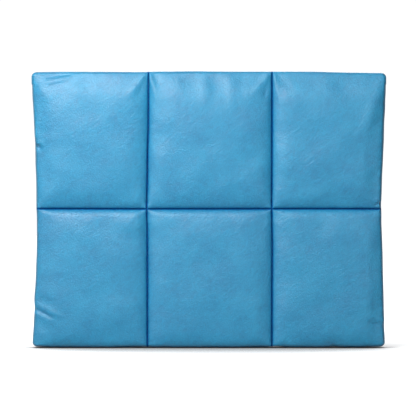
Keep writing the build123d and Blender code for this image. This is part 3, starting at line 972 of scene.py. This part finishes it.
def metal(name, colour):
    """Metal with streaks along x, smudges and brighter edges."""
    mat = Surface(name)
    streak = mat.noise(scale=900, detail=3.0, rough=0.6, at=mat.mapped(scale=(0.08, 1, 1)))
    smudge = mat.noise(scale=160, detail=3.0, rough=0.6, distort=0.5)
    wear = mat.remap(mat.pointiness(), to=(0.0, 1.0), source=(0.52, 0.62))
    base = mat.mix(smudge, colour, tinted(colour, 0.82))
    return mat.finish({
        "Base Color": mat.mix(mat.scaled(wear, 0.4), base, tinted(colour, 1.12)),
        "Roughness": mat.math("ADD", mat.remap(smudge, to=(0.20, 0.34)),
                              mat.scaled(streak, 0.06)),
        "Normal": mat.bump(streak, strength=0.10, distance=0.00004),
        "Metallic": 1.0})


def nylon(name, colour):
    mat = Surface(name)
    mottle = mat.noise(scale=700, detail=2.0, rough=0.5)
    return mat.finish({
        "Base Color": mat.ramp(mottle, (0.3, tinted(colour, 0.75)), (0.7, colour)),
        "Roughness": mat.remap(mottle, to=(0.28, 0.42)),
        "Normal": mat.bump(mottle, strength=0.15, distance=0.00005)})


def fibre(name):
    mat = Surface(name)
    wisps = mat.noise(scale=240, detail=5.0, rough=0.65, distort=2.2)
    clumps = mat.noise(scale=45, detail=3.0, rough=0.6, distort=0.8)
    return mat.finish({
        "Base Color": mat.ramp(mat.weighted((wisps, 0.6), (clumps, 0.4)),
                               (0.3, (0.62, 0.63, 0.64)), (0.7, (0.90, 0.90, 0.89))),
        "Roughness": 0.95,
        "Normal": mat.bump(wisps, strength=0.9, distance=0.0006),
        "Sheen Weight": 0.5})


def foam(name):
    mat = Surface(name)
    cells = mat.node("TexVoronoi", {"Vector": mat.place, "Scale": 1300}).outputs["Distance"]
    tint = mat.noise(scale=60, detail=3.0, rough=0.5)
    return mat.finish({
        "Base Color": mat.ramp(mat.weighted((cells, 0.6), (tint, 0.4)),
                               (0.15, (0.05, 0.052, 0.056)), (0.6, (0.115, 0.118, 0.125))),
        "Roughness": 0.92,
        "Normal": mat.bump(cells, strength=0.7, distance=0.0003)})


MATERIALS = {
    "cover_leather": leather("leather_cover"),
    "tab_leather": leather("leather_tab", gain=0.92, shift=(0.31, 0.17, 0.05), grain=1.1),
    "lining": woven("lining_twill", colour=(0.055, 0.085, 0.13), pitch=0.0011, rough=0.72,
                    contrast=0.4, twill=True),
    "scrim": woven("scrim_weave", colour=(0.60, 0.61, 0.60), pitch=0.0016, rough=0.9,
                   contrast=0.3),
    "binding": woven("binding_grosgrain", colour=(0.030, 0.060, 0.105), pitch=0.0009, rough=0.8,
                     contrast=0.4),
    "zip_tape": woven("zip_tape_herringbone", colour=(0.010, 0.135, 0.30), pitch=0.0008,
                      rough=0.78, contrast=0.45, twill=True),
    "thread": thread("polyester_thread", colour=(0.0015, 0.062, 0.185)),
    "zip_coil": nylon("nylon_coil", colour=(0.008, 0.115, 0.27)),
    "zip_metal": metal("brushed_nickel", colour=(0.74, 0.72, 0.69)),
    "fibre_fill": fibre("polyester_fill"),
    "foam": foam("closed_cell_foam"),
}


# ---------------------------------------------------------------- padding
PAD_BACK, PAD_BACK_INNER = 9.42, 9.36   # depth of a pad's flat side, at its rim and inside it
PAD_MARGIN, PAD_EDGE_MARGIN, PAD_TOP_MARGIN = 2.0, 4.2, 3.2
PAD_BELOW_FACE = 1.55


def pads(plan, face):
    """A lumpy crowned fibre pad under every field, flat on its inner side."""
    normals = sheet_normals(face)

    def lines(in_field, from_low, from_high, low, high):
        inside = np.nonzero(in_field & (from_low > low) & (from_high > high))[0]
        return np.unique(np.append(inside[::2], inside[-1]))

    for row, row_name in enumerate(("bottom", "top")):
        rows = lines(plan.row[:, 0] == row, plan.bottom[:, 0], plan.top[:, 0],
                     PAD_EDGE_MARGIN if row == 0 else PAD_MARGIN,
                     PAD_TOP_MARGIN if row == 1 else PAD_MARGIN)
        for column, column_name in enumerate(("left", "centre", "right")):
            columns = lines(plan.column[0] == column, plan.left[0], plan.right[0],
                            PAD_EDGE_MARGIN if column == 0 else PAD_MARGIN,
                            PAD_EDGE_MARGIN if column == 2 else PAD_MARGIN)
            cells = np.ix_(rows, columns)
            outer = face[cells] - normals[cells] * PAD_BELOW_FACE
            seed = 300 + row * 7 + column * 3 + (50 if plan.side == "back" else 0)
            lumps = 0.35 * (1 + Waves(seed, length=17)(outer[..., 0], outer[..., 2]) * 0.5)
            outer[..., 1] += np.clip(lumps, 0, 0.8) * smoothstep(2.0, 10.0, plan.bound[cells])
            # the pad thins over its outermost grid lines
            line, up = np.arange(len(columns)), np.arange(len(rows))
            rim = np.minimum(np.minimum(line, line[::-1])[None, :],
                             np.minimum(up, up[::-1])[:, None])
            cap = 10.4 + 9.0 * smoothstep(-1.0, 5.0, rim)
            outer[..., 1] = np.minimum(np.maximum(outer[..., 1], -cap), -9.9)
            inner = outer.copy()
            inner[..., 1] = -PAD_BACK
            inner[1:-1, 1:-1, 1] = -PAD_BACK_INNER
            label = f"{row_name}_{column_name}"
            piece(f"{plan.side}_fibre_fill_{label}", on_side(plan.side, *plate(outer, inner)),
                  "fibre_fill", f"{plan.side}_pad_{label}")


def scrim(side):
    """The backing cloth: a thin sheet inside the outline, puckered a little at the seams."""
    around = np.array([-0.8, 0.0, 0.8])
    left_seam, right_seam = FIELDS_X[1:3]
    seam_z = FIELDS_Z[1]
    right, top = 168.0, 260.5
    columns = np.unique(np.concatenate([
        np.arange(-right, right, 4.0), [right], left_seam + around, right_seam + around]))
    rows = np.unique(np.concatenate([np.arange(7.0, top, 4.0), [top], seam_z + around]))
    x, z = np.meshgrid(columns, rows)
    seam = np.minimum(np.minimum(np.abs(x - left_seam), np.abs(x - right_seam)),
                      np.abs(z - seam_z))
    depth = (9.02 + 0.06 * Waves(90, length=25)(x, z) * smoothstep(0, 8, seam)
             + 0.08 * np.exp(-((seam / 1.5) ** 2)))
    half = 0.13
    outer, inner = (np.stack([x, -(depth + offset), z], -1) for offset in (half, -half))
    piece(f"{side}_backing_scrim", on_side(side, *plate(outer, inner)), "scrim", f"{side}_scrim")


# ---------------------------------------------------------------- stitches
STITCH_SHARES = np.array([0.0, 0.09, 0.22, 0.5, 0.78, 0.91, 1.0])
STITCH_RADII = np.array([0.8, 0.95, 1, 1, 1, 0.95, 0.8])
UP = (0, 0, 1.0)


def stitch(start, end, out, radius, lift, sink):
    """One lock stitch, lying on the surface and diving in at both ends. out points outward."""
    start, end, out = (np.array(q, float) for q in (start, end, out))
    height = np.array([-sink, -0.05, lift * 0.8, lift, lift * 0.8, -0.05, -sink])
    path = start + (end - start) * STITCH_SHARES[:, None] + out * height[:, None]
    return tube(path, radius * STITCH_RADII, sides=7, up=out, squash=0.74, twist=0.5)


def run_of_stitches(points, out, length, gap=0.5, **shape):
    """Stitches along a polyline."""
    along = np.linalg.norm(np.diff(points, axis=0), axis=1)
    along = np.concatenate([[0], np.cumsum(along)])
    count = max(1, int(along[-1] / (length + gap)))
    pitch = along[-1] / count

    def at(distance):
        return [np.interp(distance, along, points[:, k]) for k in range(3)]

    return [stitch(at(k * pitch + gap / 2), at((k + 1) * pitch - gap / 2), out, **shape)
            for k in range(count)]


def quilting(plan, face):
    """The lock stitches in the ditch of every quilting seam."""
    upright = (plan.z[:, 0] > 3.0) & (plan.z[:, 0] < 273.0)
    lines = []
    for column in (1, 2):
        k = int(np.nonzero((plan.column[0] == column) & (plan.left[0] == 0))[0][0])
        lines.append(face[upright, k])
    k = int(np.nonzero((plan.row[:, 0] == 1) & (plan.bottom[:, 0] == 0))[0][0])
    lines.append(face[k, np.abs(plan.x[0]) < 171.0])
    stitches = []
    for line in lines:
        stitches += run_of_stitches(line, (0, -1.0, 0), length=3.2,
                                    radius=0.27, lift=0.20, sink=0.55)
    piece(f"{plan.side}_quilting_stitches", on_side(plan.side, *joined(stitches)), "thread",
          f"{plan.side}_quilting_thread")


# ---------------------------------------------------------------- flat leather pieces
def rounded(x_low, x_high, y_low, y_high, radius, steps=6):
    """A rounded rectangle as a loop of points, anticlockwise."""
    corners = ((x_high - radius, y_low + radius, -90), (x_high - radius, y_high - radius, 0),
               (x_low + radius, y_high - radius, 90), (x_low + radius, y_low + radius, 180))
    out = []
    for x, y, start in corners:
        for k in range(steps + 1):
            angle = math.radians(start + 90 * k / steps)
            out.append((x + radius * math.cos(angle), y + radius * math.sin(angle)))
    return np.array(out)


def dense(loop, step=1.2):
    """The loop with its long sides divided."""
    out = []
    for a, b in zip(loop, np.roll(loop, -1, axis=0)):
        count = max(1, int(np.hypot(*(b - a)) / step))
        out += [a + (b - a) * j / count for j in range(count)]
    return np.array(out)


# The rounded edge of a slab, in edge radii: inset, height above its face
SLAB_EDGE = ((1.0, 0), (0.45, 0.18), (0.12, 0.5), (0, 1))


def slab(x_range, y_range, z_range, radius, edge, crown=0.0, dip=None):
    """A soft-edged flat piece, closed with rings that shrink to its middle. dip(point) is added
    to the height of its top."""
    (x_low, x_high), (y_low, y_high), (z_low, z_high) = x_range, y_range, z_range
    centre = np.array([(x_low + x_high) / 2, (y_low + y_high) / 2])
    half_size = np.array([(x_high - x_low) / 2, (y_high - y_low) / 2])
    half = min(half_size)
    base = dense(rounded(x_low, x_high, y_low, y_high, radius))

    def ring(inset, z):
        # a true offset while the corners last, then a plain shrink, so that no points meet
        turn = 0.6 * radius
        near = min(inset, turn)
        shrink = 1 - 0.96 * max(0.0, inset - turn) / (half - turn)
        out = []
        for p in base:
            core = np.array([np.clip(p[0], x_low + radius, x_high - radius),
                             np.clip(p[1], y_low + radius, y_high - radius)])
            q = core + (p - core) * (1 - near / radius)
            q = centre + (q - centre) * shrink
            out.append((q[0], q[1], z(q) if callable(z) else z))
        return np.array(out)

    def top(point):
        off = min(1.0, max(np.abs(point - centre) / half_size))
        return z_high + crown * (1 - off ** 2) + (dip(point) if dip else 0)

    rings = [ring(inset, z_low) for inset in (half * 0.95, half * 0.7, half * 0.4, edge * 2.2)]
    rings += [ring(edge * inset, z_low + edge * rise) for inset, rise in SLAB_EDGE]
    rings += [ring(edge * inset, z_high - edge * rise) for inset, rise in SLAB_EDGE[::-1]]
    rings += [ring(inset, top) for inset in (edge * 1.7, edge * 2.6, edge * 4.0,
                                             half * 0.55, half * 0.75, half * 0.95)]
    return loft(rings)


# ---------------------------------------------------------------- zip
# Section of a tape, (distance from the middle plane, z): corded inner edge, flat selvedge
TAPE_SECTION = np.array([
    (0.80, 264.30), (0.86, 264.50), (1.02, 264.60), (1.30, 264.62), (1.62, 264.52),
    (2.0, 264.50), (2.6, 264.50), (3.0, 264.46), (3.6, 264.46), (4.3, 264.48), (5.0, 264.46),
    (5.7, 264.44), (6.3, 264.48), (6.65, 264.52), (6.84, 264.46), (6.88, 264.30),
    (6.84, 264.12), (6.5, 264.07), (5.0, 264.06), (3.4, 264.06), (2.0, 264.06), (1.1, 264.07),
    (0.86, 264.14)])
# One tooth's loop: x from the tooth's place, distance from the middle plane, z, radius
TOOTH = np.array([
    (-0.30, 2.30, 264.95, 0.27), (-0.28, 1.75, 264.92, 0.28), (-0.24, 1.05, 264.96, 0.28),
    (-0.16, 0.62, 265.10, 0.29), (-0.04, 0.36, 265.42, 0.31), (0.06, 0.34, 265.80, 0.32),
    (0.14, 0.46, 266.14, 0.31), (0.22, 0.95, 266.30, 0.28), (0.28, 1.55, 266.30, 0.28),
    (0.33, 2.05, 266.12, 0.28), (0.38, 2.34, 265.72, 0.26)])
TOOTH_PITCH = 1.42
COIL_LENGTH = 303.0
TAB_STITCH = dict(lift=0.16, sink=0.25)


def zip_tape(side):
    """A woven strip, a little uneven along its length."""
    places = np.arange(-170.0, 170.01, 1.0)
    ripple = Waves(17 if side == "front" else 23, length=15, count=12)(places, 0 * places)
    distance, z = TAPE_SECTION.T
    rings = [np.stack([np.full(len(z), x), -distance, z + np.where(z > 264.2, 0.035 * wave, 0)], 1)
             for x, wave in zip(places, ripple)]
    piece(f"{side}_zip_tape_woven", on_side(side, *loft(rings)), "zip_tape", f"{side}_zip_tape")


def zip_coil(side, way):
    """One filament loop per tooth, staggered against the other side's. way is the side's y."""
    start = -COIL_LENGTH / 2 + (0.0 if side == "front" else TOOTH_PITCH / 2)
    teeth = []
    for k in range(int(COIL_LENGTH / TOOTH_PITCH)):
        path = TOOTH[:, :3] * (1, way, 1) + (start + k * TOOTH_PITCH, 0, 0)
        teeth.append(tube(path, TOOTH[:, 3], sides=6, up=(1, 0, 0)))
    piece(f"{side}_zip_coil_teeth", joined(teeth), "zip_coil", f"{side}_zip_coil")


def zip_stitches(side, way):
    """The row of stitches that holds the tape to the hem."""
    line = np.array([(x, 5.9 * way, 264.50) for x in np.arange(-154.5, 154.6, 3.0)])
    stitches = run_of_stitches(line, UP, length=2.6, radius=0.21, lift=0.14, sink=0.30)
    piece(f"{side}_zip_tape_stitches", joined(stitches), "thread", f"{side}_zip_stitching")


def zip_end_tab(label, way):
    """A leather tab over one end of the zip, sewn round in a rectangle it dips along."""
    low, high = sorted((way * 156.6, way * 171.4))
    seam_x, seam_y = 1.5, 5.3  # inset from the tab's ends; half width
    corners = np.array([(low + seam_x, -seam_y), (high - seam_x, -seam_y),
                        (high - seam_x, seam_y), (low + seam_x, seam_y)])
    sides = list(zip(corners, np.roll(corners, -1, axis=0)))

    def dip(point):
        nearest = 1e9
        for a, b in sides:
            share = np.clip(np.dot(point - a, b - a) / np.dot(b - a, b - a), 0, 1)
            nearest = min(nearest, np.hypot(*(point - a - (b - a) * share)))
        return -0.12 * math.exp(-((nearest / 0.5) ** 2))

    mesh = slab((low, high), (-6.65, 6.65), (264.62, 265.72), radius=1.4, edge=0.32,
                crown=0.05, dip=dip)
    piece(f"{label}_zip_end_tab_leather", mesh, "tab_leather", f"zip_end_tab_{label}")
    stitches = []
    for a, b in sides:
        a, b = np.append(a, 265.60), np.append(b, 265.60)
        count = max(1, int(round(np.linalg.norm(b - a) / 2.6)))
        for j in range(count):
            start, end = a + (b - a) * (j + 0.1) / count, a + (b - a) * (j + 0.9) / count
            stitches.append(stitch(start, end, UP, radius=0.2, **TAB_STITCH))
    piece(f"{label}_zip_end_tab_stitches", joined(stitches), "thread")


def pull_tab():
    """Two leather leaves over the end of the link, sewn round their edge."""
    left, right, middle = 99.6, 137.8, 269.7
    leaves = []
    # z range and way from the middle of each leaf
    for z_range, way in (((269.72, 270.86), 1), ((268.54, 269.68), -1)):
        points, faces = slab((left, right), (-4.4, 4.4), z_range, radius=2.6, edge=0.26)
        # the leaves part round the link
        parting = smoothstep(127.0, 131.5, points[:, 0]) * 0.32
        facing = np.abs(points[:, 2] - middle) < 0.42
        points[:, 2] += np.where(facing, way * parting, 0)
        leaves.append((points, faces))
    piece("pull_tab_leather", joined(leaves), "tab_leather", "pull_tab",
          body="puller")
    loop = dense(rounded(left + 1.1, 130.2, -3.3, 3.3, radius=1.8), step=2.4)
    stitches = []
    for z, way in ((270.80, 1.0), (268.60, -1.0)):
        for a, b in zip(loop, np.roll(loop, -1, axis=0)):
            # the short steps round the corners carry no stitch
            if np.hypot(*(b - a)) < 0.9:
                continue
            start, end = a + (b - a) * 0.1, a + (b - a) * 0.9
            stitches.append(stitch((*start, z), (*end, z), (0, 0, way), radius=0.19,
                                   **TAB_STITCH))
    piece("pull_tab_stitches", joined(stitches), "thread", body="puller")


def dress(name, material, bevel=0.0):
    """A frame piece that keeps its shape gets its finish and, if asked, softened edges."""
    ob = NODES[name]
    ob.data.materials.clear()
    ob.data.materials.append(MATERIALS[material])
    if bevel:
        weld = ob.modifiers.new("weld", "WELD")
        weld.merge_threshold = 0.000002
        soft = ob.modifiers.new("soft_edges", "BEVEL")
        soft.width = bevel * MM
        soft.segments = 2
        soft.limit_method = "ANGLE"
        soft.angle_limit = math.radians(32)
        soft.use_clamp_overlap = True


for side, seed in (("front", 11), ("back", 37)):
    plan = Plan(side)
    face = cover_face(plan, seed)
    cover(plan, face, seed)
    pads(plan, face)
    quilting(plan, face)
    scrim(side)
for side, way in (("front", -1.0), ("back", 1.0)):
    zip_tape(side)
    zip_coil(side, way)
    zip_stitches(side, way)
for label, way in (("left", -1.0), ("right", 1.0)):
    zip_end_tab(label, way)
pull_tab()
for side in ("front", "back"):
    dress(f"{side}_foam", "foam", bevel=0.25)
    dress(f"{side}_lining", "lining")
for edge in ("left", "right", "bottom"):
    dress(f"{edge}_seam_binding", "binding")
for name in ("zip_top_stops", "zip_bottom_stop"):
    dress(name, "zip_metal", bevel=0.14)
for name in ("slider_body", "puller_pin", "pull_link", "pull_tab_rivet"):
    dress(name, "zip_metal", bevel=0.12)


# ---------------------------------------------------------------- the studio, in metres
scene = bpy.context.scene
scene.view_settings.view_transform = "Standard"
scene.view_settings.look = "None"


def floor_material():
    """Nearly white to the camera, grey to the light, and darker close to the sleeve: a painted
    contact shadow.
    """
    mat = Surface("pale_floor")
    ray = mat.camera_ray()
    # painted contact shadow: ambient occlusion darkens the floor's colour and glow near the sleeve
    painted_contact_shadow = mat.node("AmbientOcclusion", {"Distance": 0.22}, samples=12)
    near = mat.math("POWER", painted_contact_shadow.outputs["AO"], 2.2)
    shade = mat.remap(mat.noise(scale=3.0, detail=2.0), to=(0.90, 0.93))
    seen = mat.mix(mat.scaled(shade, near), (0.0, 0.0, 0.0), (1.0, 1.0, 1.0))
    return mat.finish({
        "Base Color": mat.mix(ray, (0.50, 0.50, 0.50), seen),
        "Roughness": 0.9,
        "Specular IOR Level": 0.1,
        "Emission Color": (1, 1, 1),
        "Emission Strength": mat.scaled(mat.scaled(ray, 0.80), near)})


def make_floor(half=12.0):
    mesh = bpy.data.meshes.new("floor")
    corners = [(-half, -half, 0), (half, -half, 0), (half, half, 0), (-half, half, 0)]
    mesh.from_pydata(corners, [], [(0, 1, 2, 3)])
    floor = bpy.data.objects.new("floor", mesh)
    scene.collection.objects.link(floor)
    floor.location = (0, 0, -0.0002)
    mesh.materials.append(floor_material())


def make_world():
    """White to the camera; its light is dimmer towards the right."""
    world = Shader(bpy.data.worlds.new("studio"))
    scene.world = world.owner
    generated = world.node("TexCoord").outputs["Generated"]
    axes = world.node("SeparateXYZ", {0: generated}).outputs
    across = world.remap(axes["X"], to=(0.10, 0.54), source=(0.80, 0.05))
    front = world.remap(axes["Y"], to=(0.0, 1.0), source=(0.22, -0.30),
                        interpolation_type="SMOOTHSTEP")
    # front and back have the same level
    level = world.node("Mix", {0: front, 2: across, 3: across}, data_type="FLOAT").outputs[0]
    lit = world.node("Background", {"Strength": 1.0, "Color": level})
    seen = world.node("Background", {"Strength": 1.05, "Color": (1, 1, 1)})
    mixed = world.node("MixShader", {
        0: world.camera_ray(), 1: lit.outputs[0], 2: seen.outputs[0]})
    world.node("OutputWorld", {"Surface": mixed.outputs[0]})


# Round softboxes aimed at the sleeve: name, distance, degrees off the line of sight, degrees
# round that line anticlockwise from the right, diameter, watts, side (-1 in front, 1 behind)
SOFTBOXES = (
    ("key", 0.8, 42, 118, 0.38, 3.75, -1),
    ("key_near", 0.6, 41, 126, 0.30, 0.86, -1),
    ("key_left", 0.8, 42, 154, 0.38, 0.40, -1),
    ("key_top", 0.8, 42, 100, 0.38, 0.40, -1),
    ("left", 1.3, 45, 170, 0.555, 1.20, -1),
    ("right", 1.3, 30, 20, 0.555, 1.50, -1),
    ("upper_right", 1.3, 62, 45, 0.555, 0.45, -1),
    ("back", 1.4, 26, 80, 0.60, 5.0, 1),
)
LIGHT_TARGET = Vector((0.0, 0.0, 0.14))
LOWEST_LIGHT = 0.05


def softbox(name, distance, off_axis, roll, size, power, way):
    light = bpy.data.lights.new(name, "AREA")
    light.shape = "DISK"
    light.size = size
    light.energy = power
    ob = bpy.data.objects.new(name, light)
    scene.collection.objects.link(ob)
    off, turn = math.radians(off_axis), math.radians(roll)
    away = Vector((math.sin(off) * math.cos(turn), math.cos(off) * way,
                   math.sin(off) * math.sin(turn)))
    ob.location = LIGHT_TARGET + away * distance
    ob.location.z = max(ob.location.z, LOWEST_LIGHT)
    ob.rotation_euler = (LIGHT_TARGET - ob.location).to_track_quat("-Z", "Y").to_euler()
    ob.visible_camera = False


def make_camera():
    """A level camera in front whose view is 0.416 wide in the plane y = -0.008."""
    distance, plane, half_view, sensor = 3.0, 0.008, 0.208, 36.0
    data = bpy.data.cameras.new("camera")
    camera = bpy.data.objects.new("camera", data)
    scene.collection.objects.link(camera)
    data.sensor_width = sensor
    data.lens = sensor / 2 / (half_view / (distance - plane))
    camera.location = (-0.0005, -distance, 0.1396)
    camera.rotation_euler = (math.radians(90), 0, 0)
    data.clip_start = 0.05
    data.clip_end = 60
    scene.camera = camera


make_floor()
make_world()
for row in SOFTBOXES:
    softbox(*row)
make_camera()
